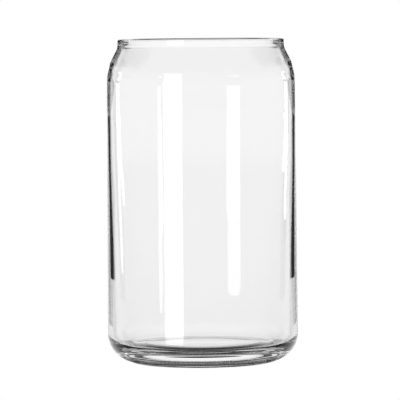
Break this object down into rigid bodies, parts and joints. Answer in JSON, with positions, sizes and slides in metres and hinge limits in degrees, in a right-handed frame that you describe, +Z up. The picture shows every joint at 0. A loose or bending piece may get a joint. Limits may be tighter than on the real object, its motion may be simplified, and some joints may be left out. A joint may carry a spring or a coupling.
{
  "type": "drinking glass",
  "caption": "Clear straight-sided drinking glass in the form of a drinks can, with a rounded shoulder, a short neck, a rolled lip and a thick flat-standing base.",
  "frame": {"origin": "centre of the bearing ring, in the plane that the glass stands on", "axes": "+Z up along the axis of the glass, from the base to the rim; X and Y are alike"},
  "size_m": [0.0774, 0.0774, 0.131],
  "materials": {
    "clear_glass": "fire-polished clear soda-lime glass"
  },
  "bodies": {
    "root": {"glass": "clear_glass"}
  },
  "joints": []
}
